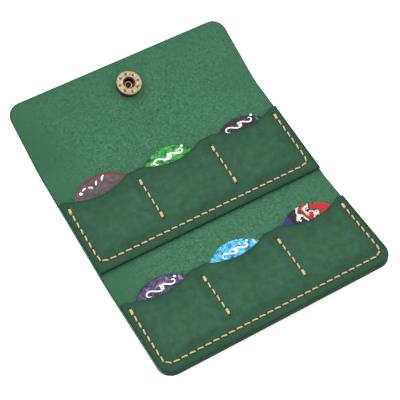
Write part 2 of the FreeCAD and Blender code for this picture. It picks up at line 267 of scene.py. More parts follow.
def panel_columns():
    """x of the grid's columns: even in the middle, and at even angles round the corners at each side."""
    straight = HALF_W - SHEET_CORNER_R
    middle = stations(-straight, (straight, FINE))
    angles = np.linspace(0, math.pi / 2, 19)[1:]
    corner = straight + SHEET_CORNER_R * np.sin(angles)
    return np.concatenate([-corner[::-1], middle, corner])


def corner_drop(x):
    """How far a rounded corner falls short of the straight edge at x."""
    over = np.clip(np.abs(x) - (HALF_W - SHEET_CORNER_R), 0, SHEET_CORNER_R)
    return SHEET_CORNER_R - np.sqrt(SHEET_CORNER_R ** 2 - over ** 2)


def mouth_line(x, mouth_s):
    """The pocket mouth: round dips with rounded humps between them."""
    off = np.abs(x - DIP_X * np.round(x / DIP_X))
    dip_s = mouth_s - DIP_DEPTH + DIP_R
    hump_x = math.sqrt((DIP_R + HUMP_R) ** 2 - (dip_s - mouth_s + HUMP_R) ** 2)
    meet_x = hump_x * DIP_R / (DIP_R + HUMP_R)
    dip = dip_s - np.sqrt(DIP_R ** 2 - np.minimum(off, meet_x) ** 2)
    hump = mouth_s - HUMP_R + np.sqrt(HUMP_R ** 2 - np.clip(hump_x - off, 0, hump_x - meet_x) ** 2)
    return np.where(off < meet_x, dip, hump)


def leather(name, columns, rows, tops, slots, open_row=None, **masks):
    """A closed sheet of leather with rounded cut edges. rows is s at each (column, row) of its grid, tops gives
    the height of its upper and lower face at (x, s), and at open_row it ends square, against another sheet."""
    nx, ns = rows.shape
    x = np.repeat(columns[:, None], ns, 1)
    ring = [(i, 0) for i in range(nx - 1)] + [(nx - 1, j) for j in range(ns - 1)]
    ring += [(i, ns - 1) for i in range(nx - 1, 0, -1)] + [(0, j) for j in range(ns - 1, 0, -1)]
    ri, rj = np.array(ring).T
    outline = np.stack([x[ri, rj], rows[ri, rj]], 1)
    run = np.roll(outline, -1, 0) - outline
    normal = np.stack([run[:, 1], -run[:, 0]], 1) / np.linalg.norm(run, axis=1)[:, None]
    before = np.roll(normal, 1, 0)
    mitre = (normal + before) / (1 + np.sum(normal * before, 1))[:, None]
    if open_row is not None:
        at_open = rj == open_row % ns
        mitre[at_open] = 0
        mitre[at_open & (ri == 0)] = (-1, 0)
        mitre[at_open & (ri == nx - 1)] = (1, 0)
    inner = outline - mitre * CUT_R
    x[ri, rj], rows[ri, rj] = inner.T
    upper, lower = tops(x, rows)
    flat = [np.stack([x, rows, upper], 2).reshape(-1, 3), np.stack([x, rows, lower], 2).reshape(-1, 3)]
    high, low = upper[ri, rj], lower[ri, rj]
    for quarter in (0, 1):
        for angle in np.radians((30, 60, 90))[:: 1 - 2 * quarter]:
            out = outline - mitre * CUT_R * (1 - math.sin(angle))
            fall = CUT_R * (1 - math.cos(angle))
            flat.append(np.column_stack([out, low + fall if quarter else high - fall]))
    flat = np.concatenate(flat)

    index = np.arange(nx * ns).reshape(nx, ns)
    quads = np.stack([index[:-1, :-1], index[1:, :-1], index[1:, 1:], index[:-1, 1:]], 2).reshape(-1, 4)
    under = quads[:, ::-1] + nx * ns
    count = len(ring)
    loops = [index[ri, rj]]
    loops += [2 * nx * ns + k * count + np.arange(count) for k in range(6)]
    loops.append(index[ri, rj] + nx * ns)
    rim = [
        np.stack([above, below, np.roll(below, -1), np.roll(above, -1)], 1)
        for above, below in zip(loops, loops[1:])
    ]
    faces = np.concatenate([quads, under, *rim])
    face_slots = np.repeat((0, 1, 2), (len(quads), len(under), len(faces) - 2 * len(quads)))
    values = {mask: rule(flat[:, 0], flat[:, 1], flat[:, 2]) for mask, rule in masks.items()}
    obj = build(name, flat, faces.tolist(), slots, face_slots, **values)
    if open_row is not None:
        square = set(loops[0][rj == open_row % ns].tolist()) | set(loops[-1][rj == open_row % ns].tolist())
        for edge in obj.data.edges:
            edge.use_edge_sharp = square.issuperset(edge.vertices)
    return obj


# ==== seams
def u_path(bottom_s, mouth_s):
    """Needle holes of a row's edge seam, evenly spaced down one side, along the bottom and up the other."""
    out = HALF_W - SEAM_SIDE
    low = bottom_s + SEAM_BOTTOM
    high = mouth_s - EDGE_SEAM_TOP
    side = high - low - SEAM_CORNER_R
    corner = SEAM_CORNER_R * math.pi / 2
    bottom = 2 * (out - SEAM_CORNER_R)
    total = 2 * side + 2 * corner + bottom
    holes = []
    for along in np.linspace(0, total, round(total / STITCH_PITCH) + 1):
        half = min(along, total - along)
        if half <= side:
            point = (out, high - half)
        elif half <= side + corner:
            turn = (half - side) / SEAM_CORNER_R
            point = (out - SEAM_CORNER_R * (1 - math.cos(turn)), low + SEAM_CORNER_R * (1 - math.sin(turn)))
        else:
            point = (out - SEAM_CORNER_R - (half - side - corner), low)
        mirror = -1 if along < total / 2 else 1
        holes.append((mirror * point[0], point[1]))
    return np.array(holes)


def divider_path(x, mouth_s):
    top = mouth_s - DIVIDER_SEAM_TOP
    return np.array([(x, top - STITCH_PITCH * index) for index in range(DIVIDER_STITCHES + 1)])


def seams_of(bottom_s, mouth_s):
    return {
        "edge": u_path(bottom_s, mouth_s),
        "left_divider": divider_path(-DIVIDER_X, mouth_s),
        "right_divider": divider_path(DIVIDER_X, mouth_s),
    }


ROWS = {
    "upper": {"bottom": UPPER_POCKET_BOTTOM, "mouth": UPPER_MOUTH, "body": "centre_panel"},
    "lower": {"bottom": LOWER_EDGE, "mouth": LOWER_MOUTH, "body": "lower_panel"},
}
SEAMS = {row: seams_of(spec["bottom"], spec["mouth"]) for row, spec in ROWS.items()}


def seam_gap(x, s, row):
    """Distance to the row's nearest seam line."""
    nearest = np.full(x.shape, 1e3)
    for holes in SEAMS[row].values():
        for start, end in zip(holes, holes[1:]):
            run = end - start
            t = np.clip(((x - start[0]) * run[0] + (s - start[1]) * run[1]) / (run @ run), 0, 1)
            gap = np.hypot(x - start[0] - t * run[0], s - start[1] - t * run[1])
            nearest = np.minimum(nearest, gap)
    return nearest


def holes_mask(x, s, row):
    """1 in the middle of a needle hole and 0 outside."""
    deepest = np.zeros(x.shape)
    for holes in SEAMS[row].values():
        for index, hole in enumerate(holes):
            run = holes[min(index + 1, len(holes) - 1)] - holes[max(index - 1, 0)]
            heading = math.atan2(run[1], run[0]) + HOLE_TURN
            along, across = turned(x - hole[0], s - hole[1], -heading)
            deepest = np.maximum(deepest, bell(along, HOLE_LENGTH) * bell(across, HOLE_WIDTH))
    return deepest


def pulled_in(x, s, row, depth):
    """How deep the seams' grooves and needle holes go at each point."""
    return depth * bell(seam_gap(x, s, row), GROOVE_WIDTH) + HOLE_DEPTH * holes_mask(x, s, row)


def row_mask(rule, far):
    """A mask over a whole sheet from a rule for one row: far where no row is."""
    def masked(x, s, h):
        upper = (s > UPPER_POCKET_BOTTOM - 1) & (s < UPPER_MOUTH + 1)
        lower = s < LOWER_MOUTH + 1
        values = np.full(x.shape, float(far))
        values[upper] = rule(x[upper], s[upper], "upper")
        values[lower] = rule(x[lower], s[lower], "lower")
        return values
    return masked


def strand(start, end, level, out, spread):
    """One stitch as a twisted, waxed strand: it comes out of one hole, lies on the leather and dives into the
    next. out is 1 on the inner side and -1 on the outer side, and spread moves it sideways for a doubled stitch."""
    run = end - start
    length = math.hypot(*run)
    ahead = np.array(turned(*run, -STITCH_SLANT * out)) / length
    side = np.array([-ahead[1], ahead[0]])
    middle = (start + end) / 2 + side * spread
    reach = length / 2 - STRAND_INSET
    points, crest = [], []
    for share in np.linspace(-1, 1, STRAND_STEPS):
        along = reach * math.sin(math.pi / 2 * share)
        from_end = reach - abs(along)
        rise = STRAND_RISE * smooth(from_end / 0.5) - STRAND_DIVE
        swell = 0.9 + 0.1 * math.cos(math.pi / 2 * along / reach)
        for turn in np.linspace(0, 2 * math.pi, STRAND_AROUND, endpoint=False):
            lobe = 1 + 0.1 * math.cos(THREAD_PLIES * turn - 2 * math.pi * along / THREAD_TWIST)
            across = THREAD_HALF_W * swell * lobe * math.cos(turn)
            up = THREAD_HALF_H * swell * lobe * math.sin(turn)
            spot = middle + ahead * along + side * across
            points.append((spot[0], spot[1], level + out * (rise + up)))
            # crest is up to 1 along the strand's top, lower down its sides and underneath, and 0 at its ends; the
            # thread's material paints shade where it is low.
            crest.append(math.sin(turn) * smooth(from_end / 0.35))
    faces = tube(STRAND_STEPS, STRAND_AROUND)
    if out < 0:
        faces = [face[::-1] for face in faces]
    return points, faces, crest


def thread(row, seam):
    """All the stitches of one seam, on both sides of the leather. The first and last are doubled on the inside."""
    holes = SEAMS[row][seam]
    last = len(holes) - 2
    points, faces, crest = [], [], []
    for index, (start, end) in enumerate(zip(holes, holes[1:])):
        doubled = index in (0, last)
        strands = [(SHEET_T + POCKET_T, 1, gap) for gap in ((-DOUBLED_GAP, DOUBLED_GAP) if doubled else (0,))]
        for level, out, gap in strands + [(OUTER_SINK, -1, 0)]:
            more, more_faces, more_crest = strand(start, end, level, out, gap)
            offset = len(points)
            points += more
            crest += more_crest
            faces += [tuple(v + offset for v in face) for face in more_faces]
    obj = build(f"{row}_{seam}_thread", np.array(points), faces, [THREAD], crest=crest)
    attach(obj, ROWS[row]["body"])
    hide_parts(f"{row}_{seam}_stitching")


# ==== leather pieces
def edge_gap(x, s, low, high):
    """Distance to the nearest cut edge."""
    return np.minimum(HALF_W - np.abs(x), np.minimum(s - low, high - s))


def sheet_tops(x, s):
    """Heights of the long sheet's two faces: thinner at the folds, and pulled in outside along the seams."""
    sunk = row_mask(lambda x, s, row: pulled_in(x, s, row, OUTER_GROOVE), 0)
    return SHEET_T - FOLD_THINNING * bell(np.abs(s) - THIN_LINE, THIN_WIDTH), sunk(x, s, None)


def sheet(name, rows, open_row):
    """One of the two sheets. rows is s along its middle, from low to high, and open_row is where they meet."""
    columns = panel_columns()
    end, inward = (rows[-1], -1) if open_row == 0 else (rows[0], 1)
    fade = smooth(1 - np.abs(rows - end) / CORNER_FADE)
    grid = rows[None, :] + inward * corner_drop(columns)[:, None] * fade[None, :]
    return leather(
        name, columns, grid, sheet_tops, [SUEDE, GRAIN, CUT_EDGE], open_row,
        gap=lambda x, s, h: edge_gap(x, s, LOWER_EDGE, FLAP_EDGE),
        seam=row_mask(seam_gap, 1e3),
        hole=lambda x, s, h: row_mask(holes_mask, 0)(x, s, h) * (h < SHEET_T / 2),
    )


def build_sheets():
    """The long sheet, as two pieces that each bend at one fold and meet under the upper pockets."""
    upper_rows = stations(SPLIT, (UPPER_MOUTH, FINE), (FLAP_EDGE - SHEET_CORNER_R, COARSE), (FLAP_EDGE, FINE))
    upper = sheet("upper_sheet", upper_rows, 0)
    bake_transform(upper)
    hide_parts("centre_leather", "flap_fold_leather", "flap_leather")
    lower_rows = stations(LOWER_EDGE, (LOWER_MOUTH, FINE), (UPPER_POCKET_BOTTOM, COARSE), (SPLIT, FINE))
    lower = sheet("lower_sheet", lower_rows, -1)
    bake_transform(lower)
    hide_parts("lower_fold_leather", "lower_leather")


def pocket_swell(x, s, row, ramp):
    """How far a pocket panel stands off the sheet: up over each pick, and down at the seams."""
    spec = ROWS[row]
    low = spec["bottom"] + SEAM_BOTTOM + SEAM_TO_SPACE
    outer = HALF_W - SEAM_SIDE - SEAM_TO_SPACE
    spans = (
        (-outer, -DIVIDER_X - SEAM_TO_SPACE),
        (-DIVIDER_X + SEAM_TO_SPACE, DIVIDER_X - SEAM_TO_SPACE),
        (DIVIDER_X + SEAM_TO_SPACE, outer),
    )
    swell = np.zeros(x.shape)
    for (left, right), (pick_x, rise) in zip(spans, PICKS[row].values()):
        inside = smooth((x - left) / ramp) * smooth((right - x) / ramp) * smooth((s - low) / ramp)
        depth = spec["mouth"] + rise - s
        narrowing = np.sqrt(np.clip(1 - (depth - PICK_WIDEST) / PICK_TAPER, 0, 1))
        beside = np.abs(x - pick_x) - PICK_HALF_W * narrowing
        swell = np.maximum(swell, inside * (1 - BESIDE_PICK * smooth((beside - 1) / 5)))
    return POCKET_SPACE * swell


def pocket(row):
    spec = ROWS[row]
    columns = panel_columns()
    mouth = mouth_line(columns, spec["mouth"])
    bottom = np.full(columns.shape, spec["bottom"])
    if row == "lower":
        bottom = bottom + corner_drop(columns)
    share = np.linspace(0, 1, round((spec["mouth"] - spec["bottom"]) / FINE) + 1)
    grid = bottom[:, None] + (mouth - bottom)[:, None] * share[None, :]

    def tops(x, s):
        outer = SHEET_T + POCKET_T + pocket_swell(x, s, row, 3.4) - pulled_in(x, s, row, GROOVE_DEPTH)
        inner = SHEET_T + pocket_swell(x, s, row, 2.6)
        return outer, inner

    obj = leather(
        f"{row}_pocket", columns, grid, tops, [POCKET_GRAIN, SUEDE, CUT_EDGE],
        gap=lambda x, s, h: edge_gap(x, s, spec["bottom"], mouth_line(x, spec["mouth"])),
        seam=lambda x, s, h: seam_gap(x, s, row),
        hole=lambda x, s, h: holes_mask(x, s, row) * (h > SHEET_T + POCKET_T / 2),
    )
    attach(obj, spec["body"])
    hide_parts(f"{row}_pocket_panel")


# ==== snap
def lathe(name, profile, s, segments, body, node, materials, dent=None, recess=None):
    """A turned piece about the snap's upright line: profile is a closed run of (radius, height) corners, or an
    open one whose ends are on the axis. dent lowers each point, and recess darkens it."""
    on_axis = profile[0][0] == 0
    ring = profile[1:-1] if on_axis else profile
    points = []
    angles = np.linspace(0, 2 * math.pi, segments, endpoint=False)
    for radius, height in ring:
        for angle in angles:
            drop = dent(radius, angle, height) if dent else 0
            points.append((radius * math.cos(angle), s + radius * math.sin(angle), height - drop))
    rows = len(ring)
    faces = bands(rows, segments, closed=not on_axis)
    if on_axis:
        points += [(0, s, profile[0][1]), (0, s, profile[-1][1])]
        first, last = len(points) - 2, len(points) - 1
        for m in range(segments):
            faces.append((first, (m + 1) % segments, m))
            faces.append((last, (rows - 1) * segments + m, (rows - 1) * segments + (m + 1) % segments))
    flat = np.array(points)
    dark = np.array([recess(math.hypot(p[0], p[1] - s), math.atan2(p[1] - s, p[0]), p[2]) if recess else 0
                     for p in points])
    corners = np.array(profile)
    run = corners[2:] - corners[:-2] if on_axis else np.roll(corners, -1, 0) - np.roll(corners, 1, 0)
    steep = np.repeat(np.abs(run[:, 1]) / np.linalg.norm(run, axis=1), segments)
    steep = np.append(steep, np.zeros(len(points) - len(steep)))
    obj = build(name, flat, faces, materials, recess=dark, steep=steep)
    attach(obj, body)
    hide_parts(node)


def rounded(profile, radius, closed=True):
    """The profile with its corners rounded off."""
    out = []
    count = len(profile)
    for k in range(count):
        here = Vector(profile[k])
        if not closed and k in (0, count - 1):
            out.append(tuple(here))
            continue
        before, after = Vector(profile[k - 1]), Vector(profile[(k + 1) % count])
        cut = min(radius, (here - before).length * 0.45, (after - here).length * 0.45)
        start = here + (before - here).normalized() * cut
        end = here + (after - here).normalized() * cut
        for t in np.linspace(0, 1, 5):
            out.append(tuple(start * (1 - t) ** 2 + here * (2 * t * (1 - t)) + end * t ** 2))
    return out


def denser(profile, step, closed=True):
    """The profile with points added, so that no run is longer than step."""
    out = []
    pairs = list(zip(profile, profile[1:])) + ([(profile[-1], profile[0])] if closed else [])
    for start, end in pairs:
        count = max(1, math.ceil(math.dist(start, end) / step))
        for k in range(count):
            t = k / count
            out.append((start[0] + (end[0] - start[0]) * t, start[1] + (end[1] - start[1]) * t))
    return out if closed else out + [profile[-1]]


def dimple(radius, angle):
    """1 in the middle of one of the socket's pressed dots, and 0 outside it."""
    step = 2 * math.pi / DIMPLES
    off = (angle - DIMPLE_PHASE + step / 2) % step - step / 2
    gap = math.hypot(radius - DIMPLE_R, radius * math.sin(off))
    return smooth((DIMPLE_HALF - gap) / DIMPLE_SLOPE) if radius > 2 else 0.0


def build_socket():
    wall, bore, chamber, neck = 0.4, 2.6, 4.65, 1.45
    profile = [
        (neck, SHEET_T), (SOCKET_R, SHEET_T), (SOCKET_R, SOCKET_TOP), (bore, SOCKET_TOP),
        (bore, SOCKET_TOP - wall), (chamber, SOCKET_TOP - wall), (chamber, SHEET_T + wall), (neck, SHEET_T + wall),
    ]
    profile = denser(rounded(profile, 0.3), 0.16)

    def dent(radius, angle, height):
        if height < SOCKET_TOP - 0.3 or radius < bore:
            return 0
        rings = bell(radius - SOCKET_LIP_R, 0.14) + bell(radius - SOCKET_RIM_R, 0.18)
        return DIMPLE_DEPTH * dimple(radius, angle) + RING_DEPTH * rings

    def recess(radius, angle, height):
        face = height > SOCKET_TOP - 0.5 and radius > bore - 0.05
        # Painted shade: off the pressed face, in the bore, the chamber and down the walls, the socket is painted
        # dark.
        if not face:
            return 0.9
        groove = 0.42 * bell(radius - SOCKET_RIM_R, 0.16)
        lip = 0.6 * bell(radius - 2.72, 0.16) + 0.42 * bell(radius - SOCKET_LIP_R, 0.14)
        return max(0.72 * dimple(radius, angle), groove, lip)

    lathe("socket_drum", profile, SNAP_S, 144, "flap", "snap_socket", [BRASS], dent, recess)


def build_cap():
    """Domed cap on the outer face, with a rolled rim, and its hollow post rolled over inside the socket."""
    post, bore, roll = 1.4, 1.02, 1.92
    top = SHEET_T + 0.95
    dome = []
    for t in np.linspace(0, 1, 24):
        radius = 6.25 * math.sin(t * math.pi / 2)
        dome.append((radius, -2.0 * math.cos(t * math.pi / 2) ** 0.9 - 0.02))
    profile = dome[:-1] + [
        (6.25, -0.22), (6.1, -0.02), (post, -0.02), (post, top - 0.55), (1.75, top - 0.5), (roll, top - 0.25),
        (1.8, top - 0.04), (1.5, top), (1.2, top - 0.06), (bore, top - 0.3), (bore, SHEET_T + 0.04),
    ]
    profile = [(0, dome[0][1])] + denser(profile[1:], 0.3, closed=False) + [(0, SHEET_T + 0.04)]

    def dent(radius, angle, height):
        return -0.09 * bell(radius - CAP_RING_R, 0.16) if height < -0.1 else 0

    def recess(radius, angle, height):
        if height > SHEET_T:
            # Painted shade down the inside of the post's hole.
            return 0.95 if radius < bore + 0.05 else 0.0
        ring = 0.8 * bell(radius - CAP_RING_R, 0.22)
        rim = float(smooth((radius - 5.9) / 0.3))
        return max(ring, rim)

    lathe("cap_dome", profile, SNAP_S, 96, "flap", "snap_cap", [BRASS_BRIGHT], dent, recess)


def build_stud():
    bore = 1.45
    profile = [
        (bore, -0.02), (4.6, -0.02), (4.45, -0.46), (3.9, -0.58), (2.2, -0.58), (1.95, -0.8), (1.95, -1.8),
        (2.3, -2.15), (2.35, -2.45), (1.95, STUD_TIP), (bore, STUD_TIP),
    ]
    profile = denser(rounded(profile, 0.25)[::-1], 0.2)

    def dent(radius, angle, height):
        return -0.1 * bell(radius - STUD_RING_R, 0.2) if -0.8 < height < -0.3 else 0

    def recess(radius, angle, height):
        return max(0.7 * bell(radius - STUD_RING_R, 0.25), 0.6 if -1.9 < height < -0.8 else 0)

    lathe("stud_boss", profile, STUD_S, 96, "lower_panel", "snap_stud", [BRASS_BRIGHT],
          dent, recess)
    pin = [
        (0, SHEET_T + 0.02), (3.7, SHEET_T), (4.0, SHEET_T - 0.14), (3.9, SHEET_T - 0.4), (1.4, SHEET_T - 0.42),
        (1.4, STUD_TIP + 0.05), (1.25, STUD_TIP - 0.04), (0, STUD_TIP - 0.02),
    ]
    pin = denser(rounded(pin, 0.12, closed=False), 0.3, closed=False)
    lathe("rivet_pin", pin[::-1], STUD_S, 64, "lower_panel", "stud_rivet", [BRASS_BRIGHT])


def build_spring():
    """Split wire ring under the socket's face, its ends turned out a little."""
    mean, wire = 2.4, 0.3
    height = SOCKET_TOP - 0.4 - wire
    points = []
    around, steps = 12, 90
    gap = math.radians(30)
    for k in range(steps + 1):
        angle = gap / 2 + (2 * math.pi - gap) * k / steps + math.radians(200)
        radius = mean + 0.12 * smooth((6 - min(k, steps - k)) / 6)
        for turn in np.linspace(0, 2 * math.pi, around, endpoint=False):
            out = radius + wire * math.cos(turn)
            points.append((out * math.cos(angle), SNAP_S + out * math.sin(angle), height + wire * math.sin(turn)))
    obj = build("spring_ring", np.array(points), tube(steps + 1, around, flip=True), [STEEL])
    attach(obj, "flap")
    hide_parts("snap_spring")


# ==== picks
def circle_through(start, end, bulge):
    """Centre and radius of the arc from start to end that stands bulge off their chord, to its left."""
    run = end - start
    radius = (run.length ** 2 / 4 + bulge ** 2) / (2 * bulge)
    left = Vector((-run.y, run.x)).normalized()
    return (start + end) / 2 + left * (bulge - radius), abs(radius)


def fillet_centre(first, second, radius, near):
    """Centre of the circle of that radius inside both circles, at the corner near."""
    (c1, r1), (c2, r2) = (first[0], first[1] - radius), (second[0], second[1] - radius)
    run = c2 - c1
    along = (r1 ** 2 - r2 ** 2 + run.length ** 2) / (2 * run.length)
    height = math.sqrt(max(r1 ** 2 - along ** 2, 0))
    ahead = run.normalized()
    side = Vector((-ahead.y, ahead.x))
    options = [c1 + ahead * along + side * height * sign for sign in (-1, 1)]
    return min(options, key=lambda point: (point - near).length)


def arc_points(centre, radius, start, end, count):
    """Points on the shorter way round from start to end, without the last."""
    a = math.atan2(start.y - centre.y, start.x - centre.x)
    b = math.atan2(end.y - centre.y, end.x - centre.x)
    sweep = (b - a + math.pi) % (2 * math.pi) - math.pi
    return [
        centre + Vector((math.cos(a + sweep * k / count), math.sin(a + sweep * k / count))) * radius
        for k in range(count)
    ]


def pick_outline():
    """A rounded triangle, tip down, with its crown's top at (0, 0)."""
    out, down = PICK_CORNER
    right, left, tip = Vector((out, -down)), Vector((-out, -down)), Vector((0, -PICK_POINT))
    rise = PICK_CROWN_R - math.sqrt(PICK_CROWN_R ** 2 - out ** 2)
    crown = (Vector((0, rise - down - PICK_CROWN_R)), PICK_CROWN_R)
    right_side = circle_through(tip, right, -PICK_SIDE_BULGE)
    left_side = circle_through(left, tip, -PICK_SIDE_BULGE)
    corners = (
        (crown, left_side, left, PICK_SHOULDER_R),
        (left_side, right_side, tip, PICK_TIP_R),
        (right_side, crown, right, PICK_SHOULDER_R),
    )
    fillets = []
    for before, after, near, radius in corners:
        centre = fillet_centre(before, after, radius, near)
        start = before[0] + (centre - before[0]).normalized() * before[1]
        end = after[0] + (centre - after[0]).normalized() * after[1]
        fillets.append((before, centre, radius, start, end))
    points = []
    for k, (before, centre, radius, start, end) in enumerate(fillets):
        last_end = fillets[k - 1][4]
        points += arc_points(before[0], before[1], last_end, start, 34)
        points += arc_points(centre, radius, start, end, 16)
    outline = np.array([tuple(point) for point in points])
    outline[:, 1] -= outline[:, 1].max()
    return outline


def pick(row, column, material):
    """A pick with rounded edges and slightly crowned faces."""
    outline = pick_outline()
    count = len(outline)
    run = np.roll(outline, -1, 0) - np.roll(outline, 1, 0)
    inward = np.stack([-run[:, 1], run[:, 0]], 1) / np.linalg.norm(run, axis=1)[:, None]
    if np.mean(np.sum(inward * (outline.mean(0) - outline), 1)) < 0:
        inward = -inward
    half = PICK_T / 2
    middle = np.array((0, PICK_MIDDLE))
    x, rise = PICKS[row][column]
    crown_s = ROWS[row]["mouth"] + rise
    face_edge = outline + inward * PICK_EDGE[0][0]
    loops = [(middle + (face_edge - middle) * share, half) for share in (0.1, 0.3, 0.55, 0.8)]
    loops += [(outline + inward * inset, half * share) for inset, share in PICK_EDGE]
    loops += [(ring, -height) for ring, height in loops[:-1][::-1]]
    flat = [np.column_stack([ring[:, 0] + x, ring[:, 1] + crown_s, np.full(count, PICK_H + half + height)])
            for ring, height in loops]
    centre = (x, crown_s + PICK_MIDDLE)
    flat = np.concatenate(flat + [[(*centre, PICK_H + PICK_T)], [(*centre, PICK_H)]])
    turn = np.sum(outline[:, 0] * np.roll(outline[:, 1], -1) - outline[:, 1] * np.roll(outline[:, 0], -1))
    faces = bands(len(loops), count, flip=True)
    top, under = len(flat) - 2, len(flat) - 1
    last = (len(loops) - 1) * count
    for m in range(count):
        faces.append((top, m, (m + 1) % count))
        faces.append((under, last + (m + 1) % count, last + m))
    if turn < 0:
        faces = [face[::-1] for face in faces]
    local = flat - np.array((x, crown_s, PICK_H))
    away = np.array([np.min(np.hypot(*(outline - p[:2]).T)) for p in local])
    name = f"{row}_{column}"
    obj = build(f"{name}_plectrum", flat, faces, [material], gap=away)
    obj.data.attributes.new("local", "FLOAT_VECTOR", "POINT").data.foreach_set("vector", np.ravel(local))
    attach(obj, f"{name}_pick")
    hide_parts(f"{name}_pick")


def stroke(points, widths):
    """A pen stroke as a thin closed ribbon: points are (x, y) round a pick's crown, widths its half width."""
    points = np.array(points)
    widths = np.asarray(widths)[:, None]
    run = np.gradient(points, axis=0)
    side = np.stack([-run[:, 1], run[:, 0]], 1) / np.linalg.norm(run, axis=1)[:, None]
    count = len(points)
    across = ((-1, 0.0), (-0.8, 1.0), (0.8, 1.0), (1, 0.0))
    ribbon, faces = [], []
    for share, height in across:
        ribbon.append(np.column_stack([points + side * widths * share, np.full(count, height)]))
    for k in range(4):
        a0, b0 = k * count, (k + 1) % 4 * count
        for m in range(count - 1):
            faces.append((a0 + m, a0 + m + 1, b0 + m + 1, b0 + m))
    faces.append(tuple(k * count for k in range(4)))
    faces.append(tuple(k * count + count - 1 for k in range(4))[::-1])
    return np.concatenate(ribbon), faces


def scroll(x, size):
    """A leaning double curl: its bend grows evenly both ways from its middle, which is its thickest part."""
    u = np.linspace(-1, 1, 90)
    heading = math.pi * SCROLL_CURL * u ** 2 + SCROLL_LEAN
    step = np.stack([np.cos(heading), np.sin(heading)], 1) * size * 2 / len(u)
    line = np.cumsum(step, 0)
    line -= line.mean(0)
    taper = np.sqrt(np.clip(9 * (1 - np.abs(u)) + 0.05, 0, 1))
    return line + (x, 0), SCROLL_WEIGHT * (0.6 + 0.4 * np.cos(math.pi * u / 2)) * taper


def scrolls(size, spacing):
    """Two double curls, the second one smaller, and a dot."""
    marks = []
    x = -spacing / 2
    for share in (1, 0.84):
        marks.append(scroll(x, size * share))
        x += spacing * share
    marks.append(dot(x - spacing * 0.15, size * 0.22, 0.55))
    return marks


def dot(x, y, radius):
    t = np.linspace(-1, 1, 12)
    return np.column_stack([x + radius * t, np.full(t.shape, y)]), radius * np.sqrt(1.02 - t ** 2)


def dash_marks():
    """A few short separate marks."""
    marks = []
    dashes = ((-6.6, -4.2, 20, 2.1), (-3.9, -4.7, -35, 2.0), (-0.7, -3.7, 62, 2.2), (2.7, -2.6, 48, 3.1))
    for x, y, angle, length in dashes:
        t = np.linspace(-0.5, 0.5, 10)
        line = np.stack(turned(length * t, 0.25 * np.cos(math.pi * t), math.radians(angle)), 1) + (x, y)
        marks.append((line, 0.36 * np.sqrt(np.clip(1.05 - (2 * t) ** 2, 0, 1))))
    marks.append(dot(-8.8, -5.4, 0.7))
    return marks


def pick_print(row, column, strokes, at, turn):
    """The white mark printed near a pick's crown."""
    points, faces = [], []
    x, rise = PICKS[row][column]
    crown_s = ROWS[row]["mouth"] + rise
    for line, widths in strokes:
        ribbon, more = stroke(line, widths)
        offset = len(points)
        px, py = turned(ribbon[:, 0], ribbon[:, 1], math.radians(turn))
        height = PICK_H + PICK_T + INK_T * ribbon[:, 2] - INK_SINK
        points += np.column_stack([x + at[0] + px, crown_s + at[1] + py, height]).tolist()
        faces += [tuple(v + offset for v in face) for face in more]
    obj = build(f"{row}_{column}_print", np.array(points), faces, [INK])
    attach(obj, f"{row}_{column}_pick")


# ==== materials
def srgb(red, green, blue):
    """A colour given as it shows on screen, from 0 to 255, as linear light."""
    def linear(value):
        value /= 255
        return value / 12.92 if value <= 0.04045 else ((value + 0.055) / 1.055) ** 2.4
    return (linear(red), linear(green), linear(blue), 1.0)


class Shader:
    """A node material under construction."""

    def __init__(self, name, space="flat"):
        self.material = bpy.data.materials.new(name)
        self.material.use_nodes = True
        self.nodes = self.material.node_tree.nodes
        self.links = self.material.node_tree.links
        self.spot = self.attribute(space, "Vector") if space else None
        self.colour = None

    def node(self, kind, settings=None, **inputs):
        node = self.nodes.new("ShaderNode" + kind)
        for key, value in (settings or {}).items():
            setattr(node, key, value)
        for key, value in inputs.items():
            self.plug(node.inputs[key.replace("_", " ")], value)
        return node

    def plug(self, socket, value):
        if isinstance(value, bpy.types.NodeSocket):
            self.links.new(value, socket)
        else:
            socket.default_value = value

    def finish(self, **inputs):
        for key, value in {"Base_Color": self.colour, **inputs}.items():
            self.plug(self.nodes["Principled BSDF"].inputs[key.replace("_", " ")], value)
        return self.material

    def attribute(self, name, output="Fac"):
        return self.node("Attribute", {"attribute_name": name}).outputs[output]

    def noise(self, scale, detail, roughness, distortion=0.0, at=None):
        return self.node("TexNoise", Vector=at or self.spot, Scale=scale, Detail=detail, Roughness=roughness,
                         Distortion=distortion).outputs["Fac"]

    def scaled(self, factors):
        node = self.node("VectorMath", {"operation": "MULTIPLY"})
        self.plug(node.inputs[0], self.spot)
        node.inputs[1].default_value = factors
        return node.outputs[0]

    def across(self):
        return self.node("SeparateXYZ", Vector=self.spot).outputs["X"]

    def range(self, value, low, high, to_low=0.0, to_high=1.0):
        return self.node("MapRange", Value=value, From_Min=low, From_Max=high, To_Min=to_low,
                         To_Max=to_high).outputs["Result"]

    def spread(self, noise, low, high):
        """Values from low to high over a noise's usual span."""
        return self.range(noise, 0.3, 0.7, low, high)

    def math(self, operation, first, second=0.0):
        node = self.node("Math", {"operation": operation})
        self.plug(node.inputs[0], first)
        self.plug(node.inputs[1], second)
        return node.outputs[0]

    def mix(self, factor, other):
        """Mixes another colour into the colour so far."""
        node = self.node("Mix", {"data_type": "RGBA"})
        self.plug(node.inputs[0], factor)
        self.plug(node.inputs[6], self.colour)
        self.plug(node.inputs[7], other)
        self.colour = node.outputs[2]

    def tint(self, other, value, span, amounts):
        """Mixes another colour in, by the first amount at the span's start to the second at its end."""
        value = self.attribute(value) if isinstance(value, str) else value
        self.mix(self.range(value, *span, *amounts), other)

    def ramp(self, factor, *stops, steps=False):
        node = self.node("ValToRGB", Fac=factor)
        ramp = node.color_ramp
        if steps:
            ramp.interpolation = "CONSTANT"
        while len(ramp.elements) < len(stops):
            ramp.elements.new(0.5)
        for element, (position, colour) in zip(ramp.elements, stops):
            element.position = position
            element.color = colour
        return node.outputs["Color"]

    def bump(self, height, strength, distance):
        return self.node("Bump", Height=height, Strength=strength, Distance=distance).outputs["Normal"]


